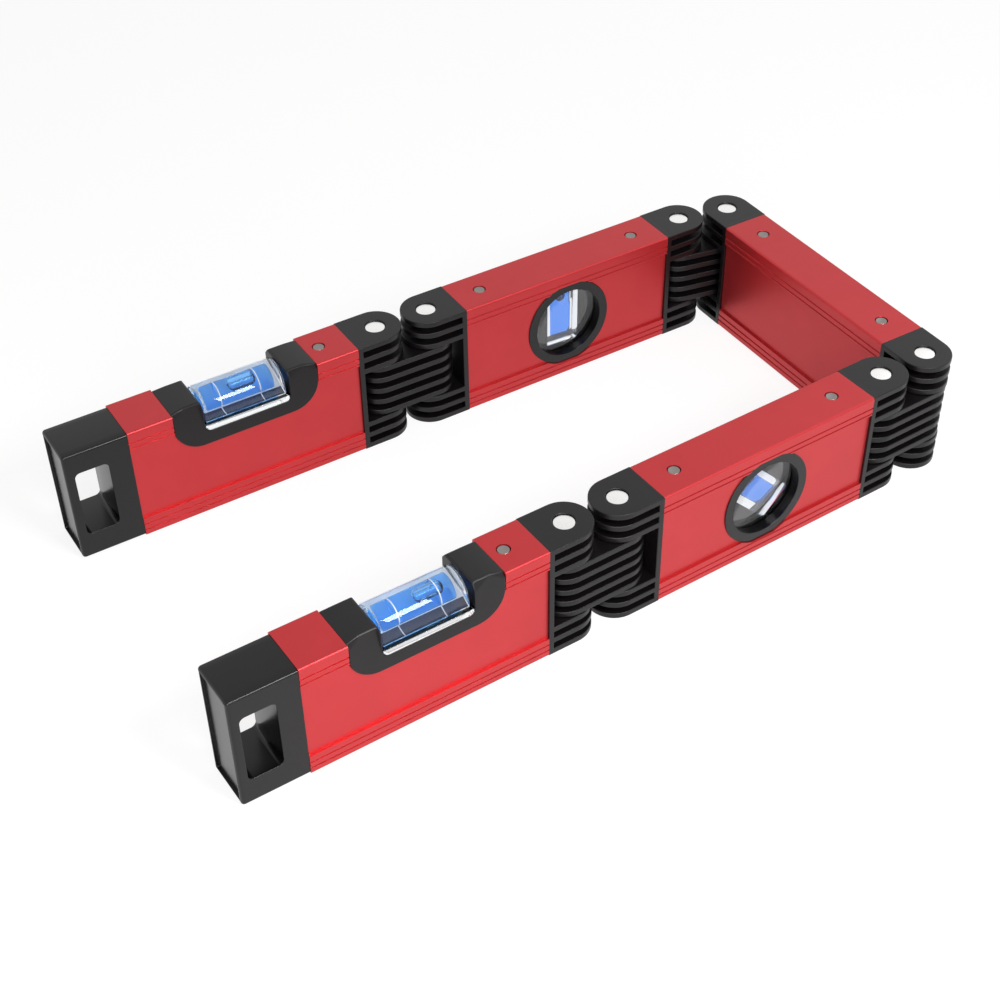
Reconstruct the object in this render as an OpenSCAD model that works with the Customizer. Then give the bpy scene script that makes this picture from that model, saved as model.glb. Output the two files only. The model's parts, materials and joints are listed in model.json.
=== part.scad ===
// Folding spirit level: five box-section segments on four double-pivot hinges,
// standing on its measuring edge and part folded into a U.
// Segment 3 is the bottom of the U, along Y, with its base centred on the origin.
// Segments 2 and 1 run off its +Y end, and segments 4 and 5 off its -Y end.

/* [Section] */
// Height of the level, from measuring edge to measuring edge
level_h = 48; // [44:0.5:60]
// Width of the level across its rails
level_w = 20; // [18:0.5:30]
// Rounding of the long edges
edge_r = 0.8; // [0.3:0.1:1.5]

/* [Profile] */
// Length of the profile in segments 2, 3 and 4
mid_len = 95; // [80:1:200]
// Length of the profile in segments 1 and 5
end_len = 92.5; // [88:0.5:200]
// Thickness of the side panels
panel_wall = 1.4; // [1:0.1:2.5]
// Thickness of the top and bottom walls
edge_wall = 2.2; // [1.5:0.1:4]
// How far the side panels lie inside the rails
panel_recess = 1; // [0.6:0.1:1.5]
// Height of the rail along the top edge
top_rail_h = 7.8; // [6.5:0.1:10]
// Height of the rail along the bottom edge
bottom_rail_h = 8; // [6.5:0.1:10]
// Width of the fine grooves in the rails
groove_w = 0.6; // [0.3:0.1:1]
// Depth of the fine grooves in the rails
groove_d = 0.4; // [0.2:0.1:0.8]
// Drop of the upper groove below the top edge
groove_drop_1 = 4.5; // [3.5:0.1:5]
// Drop of the lower groove below the top edge
groove_drop_2 = 6.9; // [5.8:0.1:7.2]
// Rise of the lower groove above the bottom edge
groove_rise_1 = 2.8; // [2:0.1:3.5]
// Rise of the upper groove above the bottom edge
groove_rise_2 = 5.3; // [4.2:0.1:6.2]

/* [Hinges] */
// Distance between the two pivots of a link
pin_spacing = 22; // [21:0.5:34]
// Distance from a pivot to the end of the profile
pin_to_profile = 12.5; // [12.3:0.1:18]
// Thickness of the bracket's flange against the profile
flange_t = 2; // [1.5:0.1:2.2]
// Thickness of the ribs of the ears and the links
rib_t = 2.3; // [2:0.1:3]
// Number of ribs on each ear
ear_ribs = 3; // [2:1:4]
// Number of ribs on a link
link_ribs = 5; // [3:1:6]
// Depth of the slots between the ribs
slot_d = 4; // [2:0.1:4.5]
// Gap between a link and the ears above and below it
link_gap = 0.3; // [0.2:0.05:0.6]
// How much less a link's half width is than the ear's
link_inset = 0.3; // [0.2:0.1:1]
// Radius of the hinge pin
pin_r = 2.5; // [1.5:0.1:3]
// Running clearance round the hinge pin in the link
pin_clear = 0.05; // [0.02:0.01:0.1]
// Radius of the hinge pin's heads
head_r = 3.8; // [3.3:0.1:4.5]
// Thickness of the hinge pin's heads
head_t = 1.4; // [0.8:0.1:2]
// How far the heads lie below the ear's face
head_sunk = 0.6; // [0.2:0.1:1]
// Clearance round the heads in their mouths
head_clear = 0.2; // [0.1:0.05:0.4]
// Length of the bracket's spigot inside the profile
spigot_len = 16; // [15:0.1:16.5]
// Clearance between the spigot and the profile's walls
spigot_clear = 0.15; // [0.1:0.05:0.4]
// Radius of the retaining pin through the profile and the spigot
retainer_r = 2.5; // [1.5:0.1:3.2]
// Distance from the profile's end to the retaining pin
retainer_inset = 11.6; // [6:0.1:12]
// How far the retaining pin's ends lie below the faces
retainer_sunk = 0.3; // [0.1:0.1:0.8]

/* [End cap] */
// Length of the end cap outside the profile
cap_len = 24.5; // [20:0.5:40]
// How far the end cap's faces lie inside the profile's
cap_inset = 0.3; // [0.1:0.1:0.8]
// Rounding of the end cap's long edges
cap_edge_r = 1; // [0.4:0.1:2]
// Rounding of the end cap's outer end
cap_end_r = 1.4; // [0.5:0.1:2.5]
// Width of the sloping strip along each top edge of the cap
cap_bevel_w = 3; // [1.5:0.1:4]
// Drop of the sloping strip
cap_bevel_h = 0.3; // [0.1:0.05:0.8]
// Width of the window along the level
window_w = 12.6; // [8:0.1:14]
// Height of the window
window_h = 28; // [16:0.5:32]
// Height of the window's lower edge
window_base = 10.5; // [6:0.5:12]
// Distance from the cap's outer end to the window
window_end = 3.4; // [3:0.1:5]
// Rounding of the window's corners
window_r = 2; // [0.5:0.1:3]
// Draft of each window wall, from a face to the middle
window_draft = 0.6; // [0.2:0.1:1.2]
// Width of the rim round the recess in the cap's end
end_rim = 1.5; // [1:0.1:3]
// Depth of the recess in the cap's end
end_sink = 1; // [0.5:0.1:1.6]
// Length of the cap's plug inside the profile
plug_len = 9; // [5:0.5:14]

/* [Top vial] */
// Distance from each end of the profile to the cradle
cradle_inset = 17.25; // [16.8:0.05:20]
// Depth of the cradle below the top edge
cradle_depth = 17.4; // [14:0.1:22]
// Rounding of the cradle's lower corners
cradle_r = 11; // [4:0.5:12]
// Clearance between the cradle and its cut-out
cradle_clear = 0.1; // [0.05:0.05:0.3]
// Rise of the cradle's arms above the top edge
arm_rise = 0.8; // [0.2:0.1:1.5]
// Length over which an arm rises from the profile
arm_ramp = 5; // [2:0.5:8]
// Width of the sloping shoulders along the arms
shoulder_w = 2.2; // [0.5:0.1:4]
// Height of the sloping shoulders along the arms
shoulder_h = 2.6; // [0.5:0.1:5]
// Wall left round the pockets under the arms
arm_wall = 2.5; // [1.5:0.1:3.5]
// Depth of the cradle's floor below the top edge
floor_depth = 11.6; // [10:0.1:13]
// Rounding between the cradle's floor and its arms
floor_r = 2.2; // [0.5:0.1:3]
// Thickness of the clear plate under the vial block
plate_t = 2.4; // [1.5:0.1:3]
// Clearance round the clear plate
plate_clear = 0.1; // [0.05:0.05:0.2]
// Length of the clear vial block
block_len = 32.5; // [24:0.5:36]
// Width of the clear vial block
block_w = 16.6; // [14:0.1:18]
// Rise of the block's crown above the top edge
block_rise = 0.9; // [0.2:0.1:1.8]
// Rounding of the block's lower corners
block_r = 0.8; // [0.3:0.1:1.4]
// Space between the block and the cradle's arms at each end
block_clear = 0.9; // [0.1:0.05:1.2]
// Wall of the block over and under the liquid chamber
chamber_wall = 0.8; // [0.6:0.05:1.6]
// Wall of the block at each end of the chamber
chamber_end = 3; // [1.5:0.1:4]
// Length of the bubble
bubble_len = 11.5; // [7:0.5:14]
// Radius of the bubble's ends
bubble_r = 2.3; // [1:0.1:2.6]
// How far a bubble's round form reaches past the liquid's surface
bubble_over = 0.4; // [0.2:0.1:0.8]
// Distance of segment 1's bubble from the middle of its vial
bubble_off_1 = 2; // [-6:0.5:6]
// Distance of segment 5's bubble from the middle of its vial
bubble_off_5 = 5; // [-6:0.5:6]

/* [Round vial] */
// Outer radius of the bezel
bezel_r = 18.75; // [17.5:0.05:19.5]
// Radius of the bezel's opening
bezel_bore_r = 15; // [12:0.1:16]
// Half height of the bezel between its flats
bezel_flat = 18.1; // [17.2:0.1:19]
// Thickness of the bezel's flange on the panel
bezel_t = 0.5; // [0.3:0.1:0.6]
// Clearance round the bezel in the rails
bezel_clear = 0.1; // [0.05:0.05:0.3]
// Wall of the bezel's sleeve through the panel
sleeve_wall = 1.4; // [0.8:0.1:2]
// Clearance between the sleeve and the panel
sleeve_clear = 0.1; // [0.05:0.05:0.3]
// Thickness of the lens and mask together, between the two sleeves
disc_t = 11.6; // [9:0.1:12]
// Thickness of the clear lens over the mask
lens_t = 1.7; // [1:0.1:2.5]
// Length of the mask's pocket for the clear vial
pocket_len = 22.2; // [21:0.1:24]
// Width of the mask's pocket
pocket_w = 14.5; // [10:0.5:16]
// Corner radius of the mask's pocket
pocket_r = 1; // [0.5:0.1:2]
// Clearance round the clear vial in its pocket
pocket_clear = 0.1; // [0.05:0.05:0.3]
// Wall of the clear vial before and behind the liquid tube
tube_wall = 0.9; // [0.5:0.1:1.5]
// Length of the liquid tube in the round vial
tube_len = 20; // [16:0.5:20]
// Radius of the round vial's bubble
round_bubble_r = 2.6; // [1:0.1:3]
// Length of the round vial's bubble
round_bubble_len = 9; // [6:0.5:12]
// Angle of segment 2's tube from the level's length: 90 is plumb
tube_angle_2 = 90; // [0:5:90]
// Angle of segment 4's tube from the level's length
tube_angle_4 = 45; // [0:5:90]

/* [Pose] */
// Direction of segment 1, from its pivot to its cap
angle_1 = 180.4; // [178:0.1:184]
// Direction of the link between segments 1 and 2
angle_12 = -0.7; // [-6:0.1:6]
// Direction of segment 2, towards segment 3
angle_2 = 0.2; // [-6:0.1:2]
// Direction of the link between segments 2 and 3
angle_23 = -11.6; // [-30:0.1:0]
// Direction of the link between segments 4 and 3
angle_34 = 2.6; // [0:0.1:30]
// Direction of segment 4, towards segment 3
angle_4 = 2.4; // [0:0.1:6]
// Direction of the link between segments 5 and 4
angle_45 = 2.6; // [-2:0.1:8]
// Direction of segment 5, from its pivot to its cap
angle_5 = 182; // [178:0.1:184]

/* [Hidden] */
$fn = 64;

ANODISED_RED = [0.80, 0.20, 0.21];
BLACK_PLASTIC = [0.17, 0.16, 0.17];
BRIGHT_STEEL = [0.88, 0.88, 0.87];
GREY_STEEL = [0.60, 0.58, 0.57];
CLEAR_ACRYLIC = [0.86, 0.90, 0.98, 0.35];
BLUE_LIQUID = [0.30, 0.48, 0.95];

past = 1;                                   // how far a cutter runs past a face
half_w = level_w / 2;
half_h = level_h / 2;
panel_y = half_w - panel_recess;            // outer face of a side panel
cavity_y = panel_y - panel_wall;            // inner face of a side panel
mid_span = mid_len + 2 * pin_to_profile;    // pivot to pivot on segments 2, 3 and 4
end_span = pin_to_profile + end_len;        // pivot to the profile's far end on segments 1 and 5

slot_count = 2 * (ear_ribs - 1) + link_ribs - 1;
slot_t = (level_h - 2 * link_gap - (2 * ear_ribs + link_ribs) * rib_t) / slot_count;
rib_pitch = rib_t + slot_t;
ear_h = ear_ribs * rib_t + (ear_ribs - 1) * slot_t;
link_h = link_ribs * rib_t + (link_ribs - 1) * slot_t;
link_z = ear_h + link_gap;
core_r = half_w - slot_d;                   // half width of the webs behind the slots
mouth_depth = head_sunk + head_t;
retainer_x = pin_to_profile + retainer_inset;

cap_w = level_w - 2 * cap_inset;
window_x = end_span + cap_len - window_end - window_w;

cradle_x = pin_to_profile + end_len / 2;    // middle of the cradle and its vial
cradle_len = end_len - 2 * cradle_inset;
cradle_z = level_h - cradle_depth;
arm_z = level_h + arm_rise;
floor_z = level_h - floor_depth;
seat_len = block_len + 2 * block_clear;     // length of the cradle's floor between its arms
block_z = floor_z + plate_t + 2 * plate_clear;
crown_r = block_w / 2;
crown_z = level_h + block_rise;
chamber_z = (block_z + crown_z) / 2;
chamber_r = crown_z - chamber_z - chamber_wall;
chamber_len = block_len - 2 * chamber_end;

sleeve_r = bezel_bore_r + sleeve_wall;
disc_r = sleeve_r;                          // lens and mask have the sleeves' own diameter
disc_y = disc_t / 2;
body_y = disc_y - lens_t;                   // front face of the mask and the vial, behind the lens
tube_y = (disc_y - body_y) / 2;             // middle of the vial's thickness
tube_r = (disc_y + body_y) / 2 - tube_wall;

function along(angle) = [cos(angle), sin(angle)];
pivot_c_back = [0, mid_span / 2];
pivot_c_front = [0, -mid_span / 2];
pivot_b_right = pivot_c_back - pin_spacing * along(angle_23);
pivot_b_left = pivot_b_right - mid_span * along(angle_2);
pivot_a = pivot_b_left - pin_spacing * along(angle_12);
pivot_d_right = pivot_c_front - pin_spacing * along(angle_34);
pivot_d_left = pivot_d_right - mid_span * along(angle_4);
pivot_e = pivot_d_left - pin_spacing * along(angle_45);

// Puts what is drawn along +X from a pivot where that pivot is, turned to its direction.
module put(pivot, angle) {
    translate([pivot[0], pivot[1], 0]) rotate([0, 0, angle]) children();
}

// Turns a drawing of the section, with Y across and Z up, into a bar along +X.
module bar(length) {
    rotate([90, 0, 90]) linear_extrude(height = length) children();
}

// Turns a drawing of the side, with X along and Z up, into a plate of a width centred on Y.
module plate(width) {
    translate([0, width / 2, 0]) rotate([90, 0, 0]) linear_extrude(height = width) children();
}

// A rectangle with rounded corners, from [x0, y0] to [x1, y1].
module round_rect(x0, y0, x1, y1, r) {
    translate([x0 + r, y0]) square([x1 - x0 - 2 * r, y1 - y0]);
    translate([x0, y0 + r]) square([x1 - x0, y1 - y0 - 2 * r]);
    for (x = [x0 + r, x1 - r], y = [y0 + r, y1 - r]) translate([x, y]) circle(r);
}

// Outline of the section, with its two recessed side panels and four grooves on each side.
module section_outline() {
    grooves = [level_h - groove_drop_1, level_h - groove_drop_2, groove_rise_1, groove_rise_2];
    difference() {
        round_rect(-half_w, 0, half_w, level_h, edge_r);
        for (side = [-1, 1]) {
            translate([side > 0 ? panel_y : -half_w - past, bottom_rail_h])
                square([panel_recess + past, level_h - top_rail_h - bottom_rail_h]);
            for (z = grooves)
                translate([side > 0 ? half_w - groove_d : -half_w - past, z - groove_w / 2])
                    square([groove_d + past, groove_w]);
        }
    }
}

module cavity_outline(gap) {
    translate([-cavity_y + gap, edge_wall + gap])
        square([2 * (cavity_y - gap), level_h - 2 * (edge_wall + gap)]);
}

// A length of profile from x = pin_to_profile, with the holes for its retaining pins.
module profile_bar(length, retainers) {
    difference() {
        translate([pin_to_profile, 0, 0]) bar(length) section_outline();
        translate([pin_to_profile - past, 0, 0]) bar(length + 2 * past) cavity_outline(0);
        for (x = retainers) translate([x, 0, -past]) cylinder(r = retainer_r, h = level_h + 2 * past);
    }
}

module cradle_outline(gap, top) {
    x0 = cradle_x - cradle_len / 2 - gap;
    x1 = cradle_x + cradle_len / 2 + gap;
    r = cradle_r + gap;
    z0 = cradle_z - gap;
    translate([x0 + r, z0]) square([x1 - x0 - 2 * r, top - z0]);
    translate([x0, z0 + r]) square([x1 - x0, top - z0 - r]);
    for (x = [x0 + r, x1 - r]) translate([x, z0 + r]) circle(r);
}

module end_profile() {
    color(ANODISED_RED) difference() {
        profile_bar(end_len, [retainer_x]);
        plate(level_w + 2 * past) cradle_outline(0, level_h + past);
    }
}

module vial_profile() {
    color(ANODISED_RED) difference() {
        profile_bar(mid_len, [retainer_x, mid_span - retainer_x]);
        translate([mid_span / 2, half_w + past, half_h]) rotate([90, 0, 0])
            cylinder(r = sleeve_r + sleeve_clear, h = level_w + 2 * past);
        for (side = [-1, 1]) bezel_pocket(side);
    }
}

module plain_profile() {
    color(ANODISED_RED) profile_bar(mid_len, [retainer_x, mid_span - retainer_x]);
}

// What the bezel's flange takes out of the rails, down to the panel.
module bezel_pocket(side) {
    translate([mid_span / 2, side * (panel_y + (panel_recess + past) / 2), half_h])
        plate(panel_recess + past) bezel_outline(bezel_clear);
}

module bezel_outline(gap) {
    intersection() {
        circle(bezel_r + gap);
        square([2 * (bezel_r + gap), 2 * (bezel_flat + gap)], center = true);
    }
}

// Fork bracket at a pivot, with its profile towards +X.
module bracket() {
    color(BLACK_PLASTIC) difference() {
        union() {
            ear(0);
            ear(level_h - ear_h);
            translate([pin_to_profile - flange_t, 0, 0])
                bar(flange_t) round_rect(-half_w, 0, half_w, level_h, edge_r);
            translate([pin_to_profile, 0, 0]) bar(spigot_len) cavity_outline(spigot_clear);
        }
        translate([0, 0, -past]) cylinder(r = pin_r, h = level_h + 2 * past);
        for (z = [-past, level_h - mouth_depth])
            translate([0, 0, z]) cylinder(r = head_r + head_clear, h = mouth_depth + past);
        translate([retainer_x, 0, 0]) cylinder(r = retainer_r, h = level_h);
    }
}

// One ear: ribs of the full width on a narrower core, from the pivot to the flange.
module ear(z0) {
    translate([0, 0, z0]) {
        for (i = [0 : ear_ribs - 1]) translate([0, 0, i * rib_pitch]) ear_slab(half_w, rib_t);
        ear_slab(core_r, ear_h);
    }
}

module ear_slab(r, h) {
    cylinder(r = r, h = h);
    translate([0, -r, 0]) cube([pin_to_profile - flange_t, 2 * r, h]);
}

// Link with a pivot at the origin and one at x = pin_spacing.
module link() {
    color(BLACK_PLASTIC) difference() {
        translate([0, 0, link_z]) {
            for (i = [0 : link_ribs - 1])
                translate([0, 0, i * rib_pitch]) link_slab(half_w - link_inset, rib_t);
            link_slab(core_r - link_inset, link_h);
        }
        for (x = [0, pin_spacing]) translate([x, 0, 0])
            cylinder(r = pin_r + pin_clear, h = level_h);
    }
}

module link_slab(r, h) {
    for (x = [0, pin_spacing]) translate([x, 0, 0]) cylinder(r = r, h = h);
    translate([0, -r, 0]) cube([pin_spacing, 2 * r, h]);
}

// Hinge pin with a head at each end.
module hinge_pin() {
    color(BRIGHT_STEEL) {
        translate([0, 0, head_sunk]) cylinder(r = pin_r, h = level_h - 2 * head_sunk);
        for (z = [head_sunk, level_h - mouth_depth]) translate([0, 0, z]) cylinder(r = head_r, h = head_t);
    }
}

module retaining_pin() {
    color(GREY_STEEL) translate([0, 0, retainer_sunk])
        cylinder(r = retainer_r, h = level_h - 2 * retainer_sunk);
}

// Moulded end cap: a windowed block, a shallow recess in its end and a plug in the profile.
module end_cap() {
    x1 = end_span + cap_len;
    half = cap_w / 2;
    top = level_h - cap_inset;
    color(BLACK_PLASTIC) difference() {
        union() {
            intersection() {
                translate([end_span, 0, 0]) bar(cap_len) intersection() {
                    round_rect(-half, cap_inset, half, top, cap_edge_r);
                    polygon([[-half, 0], [half, 0], [half, top - cap_bevel_h], [half - cap_bevel_w, top],
                             [cap_bevel_w - half, top], [-half, top - cap_bevel_h]]);
                }
                plate(level_w) round_rect(end_span - 2 * cap_end_r, cap_inset, x1, top, cap_end_r);
                linear_extrude(height = level_h)
                    round_rect(end_span - 2 * cap_end_r, -half, x1, half, cap_end_r);
            }
            translate([end_span - plug_len, 0, 0]) bar(plug_len) cavity_outline(spigot_clear);
        }
        window();
        translate([x1 - end_sink, 0, 0]) bar(end_sink + past)
            round_rect(-half + end_rim, cap_inset + end_rim, half - end_rim, top - end_rim, cap_edge_r);
    }
}

// The window's walls draw in from both faces to the middle of the cap.
module window() {
    x0 = window_x;
    x1 = window_x + window_w;
    z0 = window_base;
    z1 = window_base + window_h;
    face = cap_w / 2;
    intersection() {
        plate(level_w + 2 * past) round_rect(x0, z0, x1, z1, window_r);
        translate([0, 0, z0 - past]) linear_extrude(height = window_h + 2 * past)
            hourglass(x0, x1, face);
        translate([x0 - past, 0, 0]) rotate([90, 0, 90])
            linear_extrude(height = window_w + 2 * past) mirror([1, -1])
                hourglass(z0, z1, face);
    }
}

// A gap between low and high along X, drawn in by the draft where Y is 0.
module hourglass(low, high, face) {
    slope = window_draft * (1 + past / face);
    polygon([[low - slope + window_draft, face + past], [low + window_draft, 0],
             [low - slope + window_draft, -face - past], [high + slope - window_draft, -face - past],
             [high - window_draft, 0], [high + slope - window_draft, face + past]]);
}

// Outline of the space between the cradle's arms, drawn in by the gap.
module seat_outline(gap) {
    seat = seat_len / 2 - gap;
    round_rect(cradle_x - seat, floor_z + gap, cradle_x + seat, arm_z + 2 * floor_r, floor_r - gap);
}

// Cradle of the top vial: a saddle in the profile's cut-out, open over and beside the block.
module cradle() {
    x0 = cradle_x - cradle_len / 2 + cradle_clear;
    x1 = cradle_x + cradle_len / 2 - cradle_clear;
    seat = seat_len / 2;
    color(BLACK_PLASTIC) difference() {
        intersection() {
            plate(level_w) cradle_outline(-cradle_clear, arm_z);
            plate(level_w) polygon([[x0, 0], [x1, 0], [x1, level_h], [x1 - arm_ramp, arm_z],
                                    [x0 + arm_ramp, arm_z], [x0, level_h]]);
            translate([x0, 0, 0]) bar(x1 - x0)
                polygon([[-half_w, 0], [half_w, 0], [half_w, arm_z - shoulder_h],
                         [half_w - shoulder_w, arm_z], [shoulder_w - half_w, arm_z],
                         [-half_w, arm_z - shoulder_h]]);
        }
        plate(level_w + 2 * past) seat_outline(0);
        for (pocket = [[x0 + arm_wall, cradle_x - seat - arm_wall],
                       [cradle_x + seat + arm_wall, x1 - arm_wall]])
            translate([pocket[0], -cavity_y + arm_wall, cradle_z - past])
                cube([pocket[1] - pocket[0], 2 * (cavity_y - arm_wall),
                      level_h - arm_wall - cradle_z + past - shoulder_h]);
    }
}

// Clear plate on the cradle's floor, as wide as the level, with the vial block on it.
module vial_plate() {
    color(CLEAR_ACRYLIC) intersection() {
        plate(level_w - 2 * plate_clear) seat_outline(plate_clear);
        translate([cradle_x - seat_len / 2, -half_w, floor_z])
            cube([seat_len, level_w, plate_clear + plate_t]);
    }
}

// Clear block with a half-round crown, rounded lower corners and a bored chamber.
module vial_block() {
    color(CLEAR_ACRYLIC) difference() {
        intersection() {
            translate([cradle_x - block_len / 2, 0, 0]) bar(block_len) {
                translate([0, crown_z - crown_r]) circle(crown_r);
                translate([-crown_r, block_z]) square([block_w, crown_z - crown_r - block_z]);
            }
            plate(level_w) round_rect(cradle_x - block_len / 2, block_z, cradle_x + block_len / 2,
                                      crown_z + 2 * block_r, block_r);
        }
        chamber();
    }
}

module chamber() {
    translate([cradle_x - chamber_len / 2, 0, chamber_z]) rotate([0, 90, 0])
        cylinder(r = chamber_r, h = chamber_len);
}

// The liquid fills the chamber but for the bubble under its top.
module vial_liquid(bubble_off) {
    color(BLUE_LIQUID) difference() {
        chamber();
        translate([cradle_x - bubble_off, 0, chamber_z + chamber_r - bubble_r + bubble_over])
            capsule(bubble_len, bubble_r);
    }
}

// A round-ended bar along X, centred on the origin.
module capsule(length, r) {
    reach = length / 2 - r;
    translate([-reach, 0, 0]) rotate([0, 90, 0]) cylinder(r = r, h = 2 * reach);
    for (x = [-reach, reach]) translate([x, 0, 0]) sphere(r);
}

// Bezel of a round vial on one side: flange on the panel and sleeve in to the disc.
module bezel(side) {
    color(BLACK_PLASTIC) translate([mid_span / 2, 0, half_h]) difference() {
        union() {
            translate([0, side * (panel_y + bezel_t / 2), 0]) plate(bezel_t) bezel_outline(0);
            translate([0, side * (panel_y + disc_y) / 2, 0]) plate(panel_y - disc_y) circle(sleeve_r);
        }
        plate(level_w + 2 * past) circle(bezel_bore_r);
    }
}

// A disc of the round vial between two distances from the middle plane, front side negative.
module vial_slice(y0, y1) {
    translate([mid_span / 2, (y0 + y1) / 2, half_h]) plate(y1 - y0) children();
}

module lens() {
    color(CLEAR_ACRYLIC) vial_slice(-disc_y, lens_t - disc_y) circle(disc_r);
}

// Outline of the pocket along the tube, made smaller by a clearance.
module pocket_outline(angle, clear) {
    x = pocket_len / 2 - clear;
    z = pocket_w / 2 - clear;
    rotate(-angle) round_rect(-x, -z, x, z, pocket_r);
}

// Black disc behind the lens, with the pocket that holds the clear vial.
module mask(angle) {
    color(BLACK_PLASTIC) vial_slice(-body_y, disc_y) difference() {
        circle(disc_r);
        pocket_outline(angle, 0);
    }
}

// Clear vial in the mask, bored for the liquid tube, which leans back from plumb.
module vial_disc(angle) {
    color(CLEAR_ACRYLIC) difference() {
        vial_slice(-body_y, disc_y) pocket_outline(angle, pocket_clear);
        tube(angle, tube_len, tube_r);
    }
}

// A round bar in the middle plane of segments 2 and 4, falling by the angle along +X.
module tube(angle, length, r) {
    translate([mid_span / 2, tube_y, half_h]) rotate([0, angle, 0])
        translate([-length / 2, 0, 0]) rotate([0, 90, 0]) cylinder(r = r, h = length);
}

// The liquid fills the tube but for the bubble at its upper end.
module disc_liquid(angle) {
    color(BLUE_LIQUID) difference() {
        tube(angle, tube_len, tube_r);
        translate([mid_span / 2, tube_y, half_h]) rotate([0, angle, 0])
            translate([(round_bubble_len - tube_len) / 2 - bubble_over, 0, 0])
                capsule(round_bubble_len, round_bubble_r);
    }
}

// Retaining pins and hinge pins at both ends of segments 2, 3 and 4.
module both_ends(from_end) {
    for (x = [from_end, mid_span - from_end]) translate([x, 0, 0]) children();
}

module right_bracket() {
    translate([mid_span, 0, 0]) rotate([0, 0, 180]) bracket();
}

put(pivot_a, angle_1) end_profile();  // profile_1
put(pivot_a, angle_1) end_cap();  // end_cap_1
put(pivot_a, angle_1) cradle();  // cradle_1
put(pivot_a, angle_1) vial_plate();  // vial_plate_1
put(pivot_a, angle_1) vial_block();  // vial_block_1
put(pivot_a, angle_1) vial_liquid(bubble_off_1);  // vial_liquid_1
put(pivot_a, angle_1) bracket();  // bracket_1
put(pivot_a, angle_1) translate([retainer_x, 0, 0]) retaining_pin();  // retaining_pin_1
put(pivot_a, angle_1) hinge_pin();  // hinge_pin_1

put(pivot_a, angle_12) link();  // link_12

put(pivot_b_left, angle_2) vial_profile();  // profile_2
put(pivot_b_left, angle_2) bracket();  // bracket_2_left
put(pivot_b_left, angle_2) right_bracket();  // bracket_2_right
put(pivot_b_left, angle_2) both_ends(retainer_x) retaining_pin();  // retaining_pins_2
put(pivot_b_left, angle_2) both_ends(0) hinge_pin();  // hinge_pins_2
put(pivot_b_left, angle_2) bezel(-1);  // bezel_2_front
put(pivot_b_left, angle_2) bezel(1);  // bezel_2_back
put(pivot_b_left, angle_2) lens();  // lens_2
put(pivot_b_left, angle_2) mask(tube_angle_2);  // mask_2
put(pivot_b_left, angle_2) vial_disc(tube_angle_2);  // vial_disc_2
put(pivot_b_left, angle_2) disc_liquid(tube_angle_2);  // disc_liquid_2

put(pivot_b_right, angle_23) link();  // link_23

put(pivot_c_back, -90) plain_profile();  // profile_3
put(pivot_c_back, -90) bracket();  // bracket_3_rear
put(pivot_c_back, -90) right_bracket();  // bracket_3_front
put(pivot_c_back, -90) both_ends(retainer_x) retaining_pin();  // retaining_pins_3
put(pivot_c_back, -90) both_ends(0) hinge_pin();  // hinge_pins_3

put(pivot_d_right, angle_34) link();  // link_34

put(pivot_d_left, angle_4) vial_profile();  // profile_4
put(pivot_d_left, angle_4) bracket();  // bracket_4_left
put(pivot_d_left, angle_4) right_bracket();  // bracket_4_right
put(pivot_d_left, angle_4) both_ends(retainer_x) retaining_pin();  // retaining_pins_4
put(pivot_d_left, angle_4) both_ends(0) hinge_pin();  // hinge_pins_4
put(pivot_d_left, angle_4) bezel(-1);  // bezel_4_front
put(pivot_d_left, angle_4) bezel(1);  // bezel_4_back
put(pivot_d_left, angle_4) lens();  // lens_4
put(pivot_d_left, angle_4) mask(tube_angle_4);  // mask_4
put(pivot_d_left, angle_4) vial_disc(tube_angle_4);  // vial_disc_4
put(pivot_d_left, angle_4) disc_liquid(tube_angle_4);  // disc_liquid_4

put(pivot_e, angle_45) link();  // link_45

put(pivot_e, angle_5) end_profile();  // profile_5
put(pivot_e, angle_5) end_cap();  // end_cap_5
put(pivot_e, angle_5) cradle();  // cradle_5
put(pivot_e, angle_5) vial_plate();  // vial_plate_5
put(pivot_e, angle_5) vial_block();  // vial_block_5
put(pivot_e, angle_5) vial_liquid(bubble_off_5);  // vial_liquid_5
put(pivot_e, angle_5) bracket();  // bracket_5
put(pivot_e, angle_5) translate([retainer_x, 0, 0]) retaining_pin();  // retaining_pin_5
put(pivot_e, angle_5) hinge_pin();  // hinge_pin_5
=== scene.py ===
"""Folding spirit level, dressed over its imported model: finishes, rounded edges, vials and studio.

Lengths in the classes are millimetres, and metres only where a mesh is written.
Each segment and link has axes of its own: X along it from its pivot, Z up, and the base at Z = 0.
"""
import json
import logging
from dataclasses import dataclass, field
from enum import Enum
from math import cos, pi, radians, sin
from typing import Iterable, Sequence

import bmesh
import bpy
from mathutils import Matrix, Vector


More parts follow.
